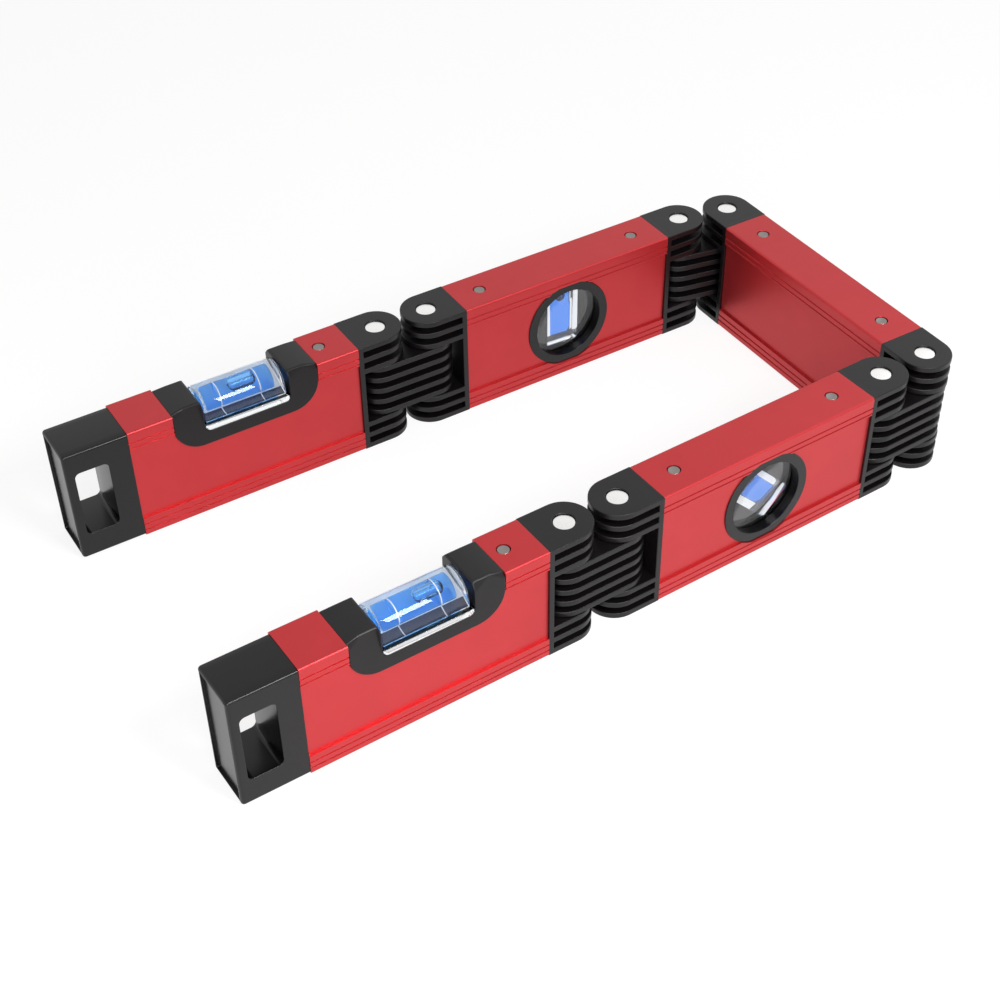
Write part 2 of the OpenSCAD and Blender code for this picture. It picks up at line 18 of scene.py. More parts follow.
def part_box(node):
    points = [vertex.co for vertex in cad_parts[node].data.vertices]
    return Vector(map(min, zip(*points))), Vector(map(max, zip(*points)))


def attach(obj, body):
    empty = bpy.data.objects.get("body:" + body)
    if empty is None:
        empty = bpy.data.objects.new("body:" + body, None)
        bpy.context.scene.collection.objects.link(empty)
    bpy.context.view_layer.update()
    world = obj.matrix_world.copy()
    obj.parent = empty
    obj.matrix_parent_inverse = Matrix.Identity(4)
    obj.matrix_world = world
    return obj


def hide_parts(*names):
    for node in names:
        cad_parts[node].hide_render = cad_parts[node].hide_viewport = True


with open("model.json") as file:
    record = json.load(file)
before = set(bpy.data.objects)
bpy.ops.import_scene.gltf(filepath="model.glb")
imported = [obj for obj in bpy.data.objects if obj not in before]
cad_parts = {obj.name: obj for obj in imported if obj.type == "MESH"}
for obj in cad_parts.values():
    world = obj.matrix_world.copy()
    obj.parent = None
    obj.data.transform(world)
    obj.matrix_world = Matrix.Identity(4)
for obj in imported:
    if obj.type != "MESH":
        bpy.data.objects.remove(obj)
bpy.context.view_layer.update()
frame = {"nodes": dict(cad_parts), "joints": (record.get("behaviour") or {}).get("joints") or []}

log = logging.getLogger("folding_level")

MM = 0.001
LEVEL_H = 48.0
MIDDLE_SPAN = 120.0
RIM_FACETS = 3
# A point that is off a plane by less than this, in metres, lies in it.
FLATNESS_M = 1e-7
# Section of a spigot or plug in the profile's bore: two of its corners, and their rounding.
BORE = ((-7.45, 2.35), (7.45, 45.65), 0.4)
Colour = tuple[float, float, float, float]
Factors = tuple[float, float, float]
Point = tuple[float, float]
Driven = tuple[bpy.types.NodeSocket, float, float]


def linear(hex_colour: str) -> Colour:
    """Turn an sRGB hex colour into linear light.

    Args:
        hex_colour: Six hex digits after a hash.

    Returns:
        Red, green, blue and an alpha of one.
    """
    channels = (int(hex_colour[i:i + 2], 16) / 255 for i in (1, 3, 5))
    red, green, blue = (c / 12.92 if c <= 0.04045 else ((c + 0.055) / 1.055) ** 2.4 for c in channels)
    return (red, green, blue, 1.0)


def add_node(tree: bpy.types.NodeTree, kind: str, settings: dict | None = None,
             sockets: dict | None = None, links: dict | None = None) -> bpy.types.Node:
    """Add a shader node with its settings, socket values and incoming links.

    Args:
        tree: The node tree that takes the node.
        kind: The node's type name, without its ShaderNode prefix.
        settings: Properties of the node.
        sockets: Values of its inputs, by name or index.
        links: Outputs that feed its inputs, by name or index.

    Returns:
        The new node.
    """
    node = tree.nodes.new("ShaderNode" + kind)
    for key, value in (settings or {}).items():
        setattr(node, key, value)
    for key, value in (sockets or {}).items():
        node.inputs[key].default_value = value
    for key, output in (links or {}).items():
        tree.links.new(output, node.inputs[key])
    return node


def new_material(name: str) -> tuple[bpy.types.Material, bpy.types.NodeTree]:
    """Make a material with an empty node tree.

    Args:
        name: The material's name.

    Returns:
        The material and its tree.
    """
    material = bpy.data.materials.new(name)
    material.use_nodes = True
    material.node_tree.nodes.clear()
    return material, material.node_tree


def grit(tree: bpy.types.NodeTree, size_mm: float, stretch: float = 1.0,
         detail: float = 2.0) -> bpy.types.NodeSocket:
    """A noise in the piece's own axes, drawn out along X.

    Args:
        tree: The node tree that takes it.
        size_mm: Size of one grain across.
        stretch: How many times longer than wide a grain is.
        detail: Octaves of finer noise.

    Returns:
        The noise's value.
    """
    scale = 1 / (size_mm * MM)
    place = add_node(tree, "TexCoord").outputs["Object"]
    drawn = add_node(tree, "Mapping", sockets={"Scale": (scale / stretch, scale, scale)},
                     links={"Vector": place})
    noise = add_node(tree, "TexNoise", sockets={"Scale": 1.0, "Detail": detail},
                     links={"Vector": drawn.outputs[0]})
    return noise.outputs["Fac"]


def clouded(tree: bpy.types.NodeTree, hex_colour: str, size_mm: float, deep: Factors,
            pale: Factors) -> bpy.types.NodeSocket:
    """A colour that drifts between a deeper and a paler tone.

    Args:
        tree: The node tree that takes it.
        hex_colour: The colour that lies between the two.
        size_mm: Size of one cloud.
        deep: Factors of red, green and blue in the deeper tone.
        pale: Factors of red, green and blue in the paler tone.

    Returns:
        The colour.
    """
    low, high = ((*(channel * factor for channel, factor in zip(linear(hex_colour), factors)), 1.0)
                 for factors in (deep, pale))
    mix = add_node(tree, "Mix", {"data_type": "RGBA"}, {"A": low, "B": high},
                   {"Factor": grit(tree, size_mm)})
    return mix.outputs["Result"]


def surface(tree: bpy.types.NodeTree, sockets: dict, links: dict | None = None,
            relief: Driven | None = None, sheen: Driven | None = None) -> None:
    """Add the principled shader and make it the material's surface.

    Args:
        tree: The material's node tree.
        sockets: Values of the shader's inputs.
        links: Outputs that feed its inputs.
        relief: A pattern, the strength of the bump that follows it, and the bump's depth in mm.
        sheen: A pattern, the roughness that follows it, and how far that swings to either side.
    """
    feeds = dict(links or {})
    if relief:
        height, strength, depth_mm = relief
        feeds["Normal"] = add_node(tree, "Bump", sockets={"Strength": strength, "Distance": depth_mm * MM},
                                   links={"Height": height}).outputs[0]
    if sheen:
        pattern, middle, swing = sheen
        feeds["Roughness"] = add_node(tree, "MapRange", links={"Value": pattern}, sockets={
            "To Min": middle - swing, "To Max": middle + swing}).outputs[0]
    shader = add_node(tree, "BsdfPrincipled", sockets=sockets, links=feeds)
    add_node(tree, "OutputMaterial", links={"Surface": shader.outputs["BSDF"]})


@dataclass(frozen=True)
class AnodisedAluminium:
    """Extruded aluminium, etched and dyed: an even satin sheen with faint lines of the draw."""
    name: str
    hex_colour: str
    metallic: float = 0.62
    roughness: float = 0.36
    swing: float = 0.05
    # The real lines of the draw are finer than the render can show, and are drawn coarser.
    grain_mm: float = 0.35
    draw: float = 60.0
    relief_mm: float = 0.012
    strength: float = 0.35
    cloud_mm: float = 14.0
    deep: Factors = (0.94, 0.92, 0.92)
    pale: Factors = (1.06, 1.10, 1.10)

    def build(self) -> bpy.types.Material:
        """Build the material.

        Returns:
            A dyed metal whose roughness and height follow the lines of the draw.
        """
        material, tree = new_material(self.name)
        lines = grit(tree, self.grain_mm, self.draw)
        dye = clouded(tree, self.hex_colour, self.cloud_mm, self.deep, self.pale)
        surface(tree, {"Metallic": self.metallic}, {"Base Color": dye},
                (lines, self.strength, self.relief_mm), (lines, self.roughness, self.swing))
        return material


@dataclass(frozen=True)
class MouldedNylon:
    """Glass-filled nylon from a spark-eroded mould: near black, with a fine even grain."""
    name: str
    hex_colour: str
    roughness: float
    swing: float = 0.08
    ior: float = 1.41
    # The grain of a real mould is about half this size, and is drawn coarser so that it shows.
    grain_mm: float = 0.22
    octaves: float = 3.0
    relief_mm: float = 0.02
    strength: float = 0.3
    cloud_mm: float = 9.0
    deep: Factors = (0.8, 0.8, 0.8)
    pale: Factors = (1.25, 1.25, 1.25)

    def build(self) -> bpy.types.Material:
        """Build the material.

        Returns:
            A dark plastic with the mould's grain in its height and sheen.
        """
        material, tree = new_material(self.name)
        grain = grit(tree, self.grain_mm, detail=self.octaves)
        tone = clouded(tree, self.hex_colour, self.cloud_mm, self.deep, self.pale)
        surface(tree, {"IOR": self.ior}, {"Base Color": tone},
                (grain, self.strength, self.relief_mm), (grain, self.roughness, self.swing))
        return material


@dataclass(frozen=True)
class TurnedSteel:
    """Steel turned on a lathe: a metal with fine rings round the axis."""
    name: str
    hex_colour: str
    roughness: float
    swing: float = 0.1
    # The tool's real rings are finer than the render can show, and are drawn coarser.
    ring_mm: float = 0.592
    waver: float = 1.5
    mottle_mm: float = 0.6
    relief_mm: float = 0.01
    strength: float = 0.25

    def build(self) -> bpy.types.Material:
        """Build the material.

        Returns:
            A metal with the tool's rings in its height, and a light mottle in its sheen.
        """
        material, tree = new_material(self.name)
        place = add_node(tree, "TexCoord").outputs["Object"]
        # At a scale of one, the wave runs through 20 radians in each unit of length.
        scale = 2 * pi / (20 * self.ring_mm * MM)
        rings = add_node(tree, "TexWave", {"wave_type": "RINGS", "rings_direction": "Z"},
                         {"Scale": scale, "Distortion": self.waver}, {"Vector": place})
        surface(tree, {"Base Color": linear(self.hex_colour), "Metallic": 1.0}, None,
                (rings.outputs["Fac"], self.strength, self.relief_mm),
                (grit(tree, self.mottle_mm), self.roughness, self.swing))
        return material


@dataclass(frozen=True)
class ClearCasting:
    """Clear stuff with polished faces: cast acrylic, or the liquid and the air inside it."""
    name: str
    hex_colour: str
    ior: float
    ripple_mm: float = 3.0
    relief_mm: float = 0.002
    strength: float = 0.1

    def build(self) -> bpy.types.Material:
        """Build the material.

        Returns:
            A tinted clear shader whose faces are very slightly uneven.
        """
        material, tree = new_material(self.name)
        surface(tree, {"Base Color": linear(self.hex_colour), "Roughness": 0.0, "IOR": self.ior,
                       "Transmission Weight": 1.0},
                relief=(grit(tree, self.ripple_mm), self.strength, self.relief_mm))
        return material


@dataclass(frozen=True)
class PrintAndPaintedShade:
    """Opaque ink on the vial, for its white print and for a slate layer of painted shade: flat and even,
    with a dull sheen that is slightly mottled.
    """
    name: str
    hex_colour: str
    roughness: float = 0.55
    swing: float = 0.1
    mottle_mm: float = 0.3

    def build(self) -> bpy.types.Material:
        """Build the material.

        Returns:
            A plain opaque colour with a dull sheen.
        """
        material, tree = new_material(self.name)
        surface(tree, {"Base Color": linear(self.hex_colour)},
                sheen=(grit(tree, self.mottle_mm), self.roughness, self.swing))
        return material


ACRYLIC_IOR = 1.49
LIQUID_IOR = 1.465


class Finish(Enum):
    """The finishes of the level, each with the record's slot that it belongs to."""
    # Dyed and sealed: a deep red with a soft sheen.
    RED = (AnodisedAluminium("red_anodised_aluminium", "#bf3438"), "red_aluminium")
    # From a grained mould, a smoother one and a polished one: dull, softly shining, and with sharp lights.
    NYLON = (MouldedNylon("black_moulded_nylon", "#0e0b0d", 0.38), "black_plastic")
    SATIN_NYLON = (MouldedNylon("black_satin_nylon", "#0c0b0c", 0.24, relief_mm=0.008), "black_plastic")
    GLOSS_NYLON = (MouldedNylon("black_polished_nylon", "#0b0a0b", 0.2, relief_mm=0.004), "black_plastic")
    # Plated after turning: almost white, and bright.
    PLATED_STEEL = (TurnedSteel("plated_steel", "#f6f5f4", 0.3, relief_mm=0.003), "bright_steel")
    # Left as it was turned: greyer and duller.
    PLAIN_STEEL = (TurnedSteel("plain_steel", "#8f8a87", 0.42), "grey_steel")
    # Cast and polished: colourless, and clear all through.
    ACRYLIC = (ClearCasting("cast_acrylic", "#fbfdff", ACRYLIC_IOR), "clear_acrylic")
    # The liquid bends light almost as the acrylic round it does, and the air of a bubble far less.
    LIQUID = (ClearCasting("blue_vial_liquid", "#4795ff", LIQUID_IOR / ACRYLIC_IOR), "blue_liquid")
    # The same dye, paler because the backing is seen through it twice.
    PALE_LIQUID = (ClearCasting("pale_blue_vial_liquid", "#7cc0ff", LIQUID_IOR / ACRYLIC_IOR), "blue_liquid")
    BUBBLE = (ClearCasting("vial_bubble", "#ffffff", 1 / LIQUID_IOR), "blue_liquid")
    # Printed on the clear parts: the rings, marks and backing in white. The slate layer under the front of
    # the block is painted shade, a dark sheet where the block looks dark.
    INK = (PrintAndPaintedShade("white_printing_ink", "#f4f6fa"), "clear_acrylic")
    SLATE_INK = (PrintAndPaintedShade("painted_shade_slate_ink", "#3e4058"), "clear_acrylic")

    def __init__(self, recipe: object, slot: str) -> None:
        """Take the finish's recipe and the slot that it belongs to."""
        self.recipe = recipe
        self.slot = slot

    @property
    def material(self) -> bpy.types.Material:
        """The finish's material, built the first time that it is asked for."""
        return bpy.data.materials.get(self.recipe.name) or self.recipe.build()


@dataclass(frozen=True)
class Place:
    """Where a segment or link stands: the body that carries it and its own axes."""
    body: str
    axes: Matrix

    @classmethod
    def between(cls, body: str, pivot: Vector, towards: Vector) -> "Place":
        """Set the axes at a pivot, with X towards a second point.

        Args:
            body: Name of the body that carries the pieces.
            pivot: The pivot's place.
            towards: A point further along the segment or link.

        Returns:
            The place, with its origin at the foot of the pivot.
        """
        along = Vector((towards.x - pivot.x, towards.y - pivot.y, 0)).normalized()
        across = Vector((-along.y, along.x, 0))
        turn = Matrix((along, across, (0, 0, 1))).transposed().to_4x4()
        return cls(body, Matrix.Translation((pivot.x, pivot.y, 0)) @ turn)


def centre_of(node: str) -> Vector:
    """The middle of a CAD node's box."""
    low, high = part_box(node)
    return (low + high) / 2


def layout() -> dict[str, Place]:
    """Work out every segment's and link's place from the joints and the retaining pins.

    Returns:
        The places by the name of the body.
    """
    pivot = {joint["name"]: Vector(joint["pos_m"]) for joint in frame["joints"]}
    ends = {
        "segment_1": (pivot["hinge_12_at_1"], centre_of("retaining_pin_1")),
        "link_12": (pivot["hinge_12_at_1"], pivot["hinge_12_at_2"]),
        "segment_2": (pivot["hinge_12_at_2"], pivot["hinge_23_at_2"]),
        "link_23": (pivot["hinge_23_at_2"], pivot["hinge_23_at_3"]),
        "segment_3": (pivot["hinge_23_at_3"], pivot["hinge_34_at_3"]),
        "link_34": (pivot["hinge_34_at_4"], pivot["hinge_34_at_3"]),
        "segment_4": (pivot["hinge_45_at_4"], pivot["hinge_34_at_4"]),
        "link_45": (pivot["hinge_45_at_5"], pivot["hinge_45_at_4"]),
        "segment_5": (pivot["hinge_45_at_5"], centre_of("retaining_pin_5")),
    }
    return {body: Place.between(body, *points) for body, points in ends.items()}


def add_object(name: str, data: bpy.types.ID) -> bpy.types.Object:
    """Put an object with its data into the scene.

    Args:
        name: The object's name.
        data: Its mesh, camera or lamp.

    Returns:
        The object.
    """
    made = bpy.data.objects.new(name, data)
    bpy.context.scene.collection.objects.link(made)
    return made


def mesh_of(name: str, shape: bmesh.types.BMesh) -> bpy.types.Mesh:
    """Write a shape into a mesh, and free it.

    Args:
        name: The mesh's name.
        shape: The shape, which can't be used after this.

    Returns:
        The mesh.
    """
    mesh = bpy.data.meshes.new(name)
    shape.to_mesh(mesh)
    shape.free()
    return mesh


@dataclass
class Piece:
    """One mesh on its way to becoming a piece of the level."""
    name: str
    place: Place
    finish: Finish
    replaces: Sequence[str] = ()
    sharp_deg: float = 40.0
    edge_facets: int = 2
    square: float = 0.9999

    def add(self, shape: bmesh.types.BMesh, edge_mm: float = 0.0) -> None:
        """Make the object, round its sharp edges, dress it and let it ride.

        Args:
            shape: The mesh in the place's own axes, in metres. It is freed.
            edge_mm: Rounding of the edges that are sharper than sharp_deg.
        """
        mesh = mesh_of(self.name, shape)
        clear = isinstance(self.finish.recipe, ClearCasting)
        # A clear piece's faces that are square to its axes stay flat, or they would bend what is behind.
        mesh.polygons.foreach_set("use_smooth", [not (clear and max(map(abs, face.normal)) > self.square)
                                                 for face in mesh.polygons])
        mesh.set_sharp_from_angle(angle=radians(self.sharp_deg))
        mesh.materials.append(self.finish.material)
        piece = add_object(self.name, mesh)
        piece.matrix_world = self.place.axes
        if edge_mm:
            edges = piece.modifiers.new("rounded edges", "BEVEL")
            edges.width = edge_mm * MM
            edges.segments = self.edge_facets
            edges.limit_method = "ANGLE"
            edges.angle_limit = radians(self.sharp_deg)
        if not clear:
            normals = piece.modifiers.new("flat faces stay flat", "WEIGHTED_NORMAL")
            normals.keep_sharp = not edge_mm
        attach(piece, self.place.body)
        if self.replaces:
            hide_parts(*self.replaces)
        log.info("%s rides on %s", self.name, self.place.body)


def node_shape(node: str, place: Place, weld_mm: float = 0.002, flat_deg: float = 0.5) -> bmesh.types.BMesh:
    """Copy a CAD node's mesh into a place's axes, welded and with every flat face whole.

    Args:
        node: Name of the node.
        place: The place whose axes it is turned into.
        weld_mm: Points closer than this become one.
        flat_deg: Faces that meet at less than this become one.

    Returns:
        The mesh.
    """
    shape = bmesh.new()
    shape.from_mesh(frame["nodes"][node].data)
    shape.transform(place.axes.inverted())
    bmesh.ops.remove_doubles(shape, verts=shape.verts, dist=weld_mm * MM)
    bmesh.ops.dissolve_limit(shape, angle_limit=radians(flat_deg), verts=shape.verts, edges=shape.edges)
    return shape


def arc(centre: Point, radius: float, start_deg: float, end_deg: float, steps: int) -> list[Point]:
    """Points along an arc, both ends included."""
    angles = (radians(start_deg + (end_deg - start_deg) * i / steps) for i in range(steps + 1))
    return [(centre[0] + radius * cos(a), centre[1] + radius * sin(a)) for a in angles]


def circle(centre: Point, radius: float, steps: int = 64) -> list[Point]:
    """Points round a whole circle, anticlockwise."""
    return arc(centre, radius, 0, 360, steps)[:-1]


def corners(low: Point, high: Point, radius: float, steps: int = 6) -> list[Point]:
    """A rectangle with rounded corners, anticlockwise from its lower left one.

    Args:
        low: Its lower left corner, in mm.
        high: Its upper right corner, in mm.
        radius: Rounding of the corners, in mm.
        steps: Facets of each corner.

    Returns:
        The points.
    """
    (left, foot), (right, head) = low, high
    centres = ((left, foot, 180), (right, foot, 270), (right, head, 0), (left, head, 90))
    points = []
    for x, y, start in centres:
        centre = (x + radius if x == left else x - radius, y + radius if y == foot else y - radius)
        points += arc(centre, radius, start, start + 90, steps)
    return points


def capsule(length: float, radius: float, steps: int = 12) -> list[Point]:
    """Outline of a round-ended bar along Z, centred on zero, from its lower end to its upper one.

    Args:
        length: The whole length, in mm.
        radius: Radius of the bar and of its ends, in mm.
        steps: Facets of each end.

    Returns:
        Radius and height of each point.
    """
    reach = length / 2 - radius
    lower = arc((0, -reach), radius, -90, 0, steps)
    upper = arc((0, reach), radius, 0, 90, steps)
    return [(0.0, -length / 2), *lower[1:], *upper[:-1], (0.0, length / 2)]


def inset(outline: Sequence[Point], distance: float) -> list[Point]:
    """Draw a closed outline in by a distance, or out by a negative one.

    Args:
        outline: Its points, anticlockwise, in mm.
        distance: How far each side moves inwards, in mm.

    Returns:
        As many points, each moved along the bisector of its corner.
    """
    moved = []
    for i, here in enumerate(outline):
        before, after = Vector(outline[i - 1]), Vector(outline[(i + 1) % len(outline)])
        here = Vector(here)
        inward_in = (here - before).normalized().orthogonal()
        inward_out = (after - here).normalized().orthogonal()
        bisector = (inward_in + inward_out).normalized()
        moved.append(tuple(here + bisector * (distance / bisector.dot(inward_in))))
    return moved


def rounding(edge: float) -> list[Point]:
    """Section of a rim between a form's side and its face.

    Args:
        edge: The rim's rounding, in mm, or zero for a sharp rim.

    Returns:
        How far in and how far short of the face each point lies, or one point for a sharp rim.
    """
    turns = [radians(90 * k / RIM_FACETS) for k in range(RIM_FACETS + 1)] if edge else [0.0]
    return [(edge * (1 - cos(a)), edge * (1 - sin(a))) for a in turns]


def turned(outline: Sequence[Point], steps: int = 64) -> bmesh.types.BMesh:
    """Turn an outline of radius and height round the Z axis.

    Args:
        outline: Points from the lower end of the axis to the upper one, in mm.
        steps: Number of facets round the axis.

    Returns:
        A closed mesh.
    """
    shape = bmesh.new()
    rings = []
    for radius, height in outline:
        spokes = circle((0, 0), radius, steps) if radius else [(0, 0)]
        rings.append([shape.verts.new(Vector((x, y, height)) * MM) for x, y in spokes])
    for lower, upper in zip(rings, rings[1:]):
        for i in range(steps):
            facet = [lower[i % len(lower)], lower[(i + 1) % len(lower)],
                     upper[(i + 1) % len(upper)], upper[i % len(upper)]]
            shape.faces.new(list(dict.fromkeys(facet)))
    return shape


class Lie(Enum):
    """How a drawing lies in the piece's axes: across, up and through."""
    FLAT = ((1, 0, 0), (0, 1, 0), (0, 0, 1))
    SIDEWAYS = ((1, 0, 0), (0, 0, 1), (0, -1, 0))
    ENDWISE = ((0, 1, 0), (0, 0, 1), (1, 0, 0))

    @property
    def matrix(self) -> Matrix:
        """The turn from the drawing to the piece's axes."""
        return Matrix(self.value).transposed().to_4x4()


@dataclass
class Moulding:
    """A form drawn through between two levels, with rounded rims, and holes with rounded rims."""
    lie: Lie
    shape: bmesh.types.BMesh = field(default_factory=bmesh.new)

    def ring(self, outline: Sequence[Point], level: float, rim: float = 0.0) -> list[bmesh.types.BMVert]:
        """Add an outline's points at a level, drawn in by a rim, in the piece's axes.

        Args:
            outline: The outline, in mm.
            level: Its distance through the form, in mm.
            rim: How far it is drawn in, in mm, or out where that is negative.

        Returns:
            The points of the ring.
        """
        turn = self.lie.matrix
        drawn = inset(outline, rim) if rim else outline
        return [self.shape.verts.new(turn @ Vector((a, b, level)) * MM) for a, b in drawn]

    def wall(self, rings: Sequence[list[bmesh.types.BMVert]]) -> None:
        """Join rings of as many points, one after the other.

        Args:
            rings: The rings, in order along the wall.
        """
        for lower, upper in zip(rings, rings[1:]):
            for i in range(len(lower)):
                j = (i + 1) % len(lower)
                self.shape.faces.new((lower[i], lower[j], upper[j], upper[i]))

    def fill(self, loops: Sequence[list[bmesh.types.BMVert]]) -> None:
        """Close a flat face: one whole loop, or a loop with holes in it.

        Args:
            loops: The face's outer loop, and then those of its holes.
        """
        if len(loops) == 1:
            self.shape.faces.new(loops[0])
            return
        pairs = [(loop[i - 1], vert) for loop in loops for i, vert in enumerate(loop)]
        edges = [self.shape.edges.get(pair) or self.shape.edges.new(pair) for pair in pairs]
        bmesh.ops.triangle_fill(self.shape, use_beauty=True, use_dissolve=False, edges=edges)

    def slab(self, outline: Sequence[Point], low: float, high: float, edge: float,
             low_edge: float | None = None, holes: Iterable[Sequence[Point]] = ()) -> "Moulding":
        """Add a closed slab.

        Args:
            outline: Its outline, anticlockwise, in mm.
            low: Its lower level, in mm.
            high: Its upper level, in mm.
            edge: Rounding of its rims, in mm.
            low_edge: Rounding of the lower rim, where that differs.
            holes: Outlines of holes through it, anticlockwise.

        Returns:
            The moulding itself.
        """
        low_edge = edge if low_edge is None else low_edge
        levels = [(rim, low + short) for rim, short in reversed(rounding(low_edge))]
        levels += [(rim, high - short) for rim, short in rounding(edge)]
        lower, upper = [], []
        for way, loop in [(1, outline), *((-1, hole) for hole in holes)]:
            rings = [self.ring(loop, level, way * rim) for rim, level in levels]
            self.wall(rings)
            lower.append(rings[0])
            upper.append(rings[-1])
        self.fill(lower)
        self.fill(upper)
        return self

    def done(self) -> bmesh.types.BMesh:
        """Set every face's normal outwards and hand the mesh over."""
        bmesh.ops.recalc_face_normals(self.shape, faces=self.shape.faces)
        return self.shape


@dataclass
class ProfileLengths:
    """The lengths of extruded box section."""
    edge: float = 0.14

    def build(self, places: dict[str, Place]) -> None:
        """Round the edges of each profile, with its rails, grooves and cut-outs, and anodise it.

        Args:
            places: The places by the name of the body.
        """
        for number in range(1, 6):
            node = f"profile_{number}"
            place = places[f"segment_{number}"]
            Piece(f"extrusion_{number}", place, Finish.RED, (node,)).add(node_shape(node, place), self.edge)


@dataclass
class Ribs:
    """Sizes that the forks and links share: a stack of ribs with slots between them."""
    thickness: float = 2.3
    slot: float = 2.7625
    half_width: float = 10.0
    slot_depth: float = 4.0
    edge: float = 0.3

    @property
    def pitch(self) -> float:
        """From one rib to the next."""
        return self.thickness + self.slot

    def height(self, count: int) -> float:
        """Height of a stack of ribs."""
        return count * self.thickness + (count - 1) * self.slot


@dataclass
class Fork:
    """A moulded fork bracket: two ribbed ears, a flange on the profile's end and a spigot in it."""
    ribs: Ribs
    count: int = 3
    flange_from: float = 10.5
    flange_to: float = 12.5
    flange_corner: float = 0.35
    flange_edge: float = 0.06
    mouth: float = 4.0
    spigot_to: float = 28.5
    spigot_edge: float = 0.4
    # How far one form reaches into the next, and how far it stays off a face that both would share.
    bite: float = 0.1
    core_bite: float = 0.5
    hair: float = 0.005

    def ear(self, radius: float, reach: float) -> list[Point]:
        """Outline of a rib, round at the pivot and straight to the flange."""
        return [(reach, radius), *arc((0, 0), radius, 90, 270, 40), (reach, -radius)]

    def shape(self) -> bmesh.types.BMesh:
        """Mould the bracket, with its profile towards +X.

        Returns:
            Its mesh, closed form by closed form.
        """
        ribs, hair = self.ribs, self.hair
        stack = ribs.height(self.count)
        rib = self.ear(ribs.half_width - hair, self.flange_to - self.bite)
        core = self.ear(ribs.half_width - ribs.slot_depth, self.flange_from + self.core_bite)
        flat = Moulding(Lie.FLAT)
        for top in (False, True):
            for i in range(self.count):
                low = LEVEL_H - i * ribs.pitch - ribs.thickness if top else i * ribs.pitch
                # The outermost rib is open round the head of the pin.
                holes = [] if i else [circle((0, 0), self.mouth, 48)]
                flat.slab(rib, low + hair, low + ribs.thickness - hair, ribs.edge, holes=holes)
            low = LEVEL_H - stack if top else ribs.thickness
            flat.slab(core, low + 2 * hair, low + stack - ribs.thickness - 2 * hair, 0.0)
        bar = Moulding(Lie.ENDWISE, flat.shape)
        flange = corners((-ribs.half_width, 0), (ribs.half_width, LEVEL_H), self.flange_corner)
        bar.slab(flange, self.flange_from, self.flange_to, self.flange_edge, ribs.edge)
        bar.slab(corners(*BORE), self.flange_to - self.bite, self.spigot_to, self.spigot_edge, 0.0)
        return bar.done()


@dataclass
class DoubleLink:
    """A moulded link between two pivots: ribs between the ears of its two forks."""
    ribs: Ribs
    count: int = 5
    spacing: float = 22.0
    inset: float = 0.3
    gap: float = 0.3
    fork_ribs: int = 3
    hair: float = 0.01

    def stadium(self, radius: float) -> list[Point]:
        """Outline of a rib, round at both pivots."""
        return arc((self.spacing, 0), radius, -90, 90, 40) + arc((0, 0), radius, 90, 270, 40)

    def shape(self) -> bmesh.types.BMesh:
        """Mould the link, from its pivot at the origin to the one at +X.

        Returns:
            Its ribs and the core between them.
        """
        ribs = self.ribs
        flat = Moulding(Lie.FLAT)
        base = ribs.height(self.fork_ribs) + self.gap
        for i in range(self.count):
            low = base + i * ribs.pitch
            flat.slab(self.stadium(ribs.half_width - self.inset), low, low + ribs.thickness, ribs.edge)
        core = self.stadium(ribs.half_width - ribs.slot_depth - self.inset)
        return flat.slab(core, base + self.hair, base + ribs.height(self.count) - self.hair, 0.0).done()


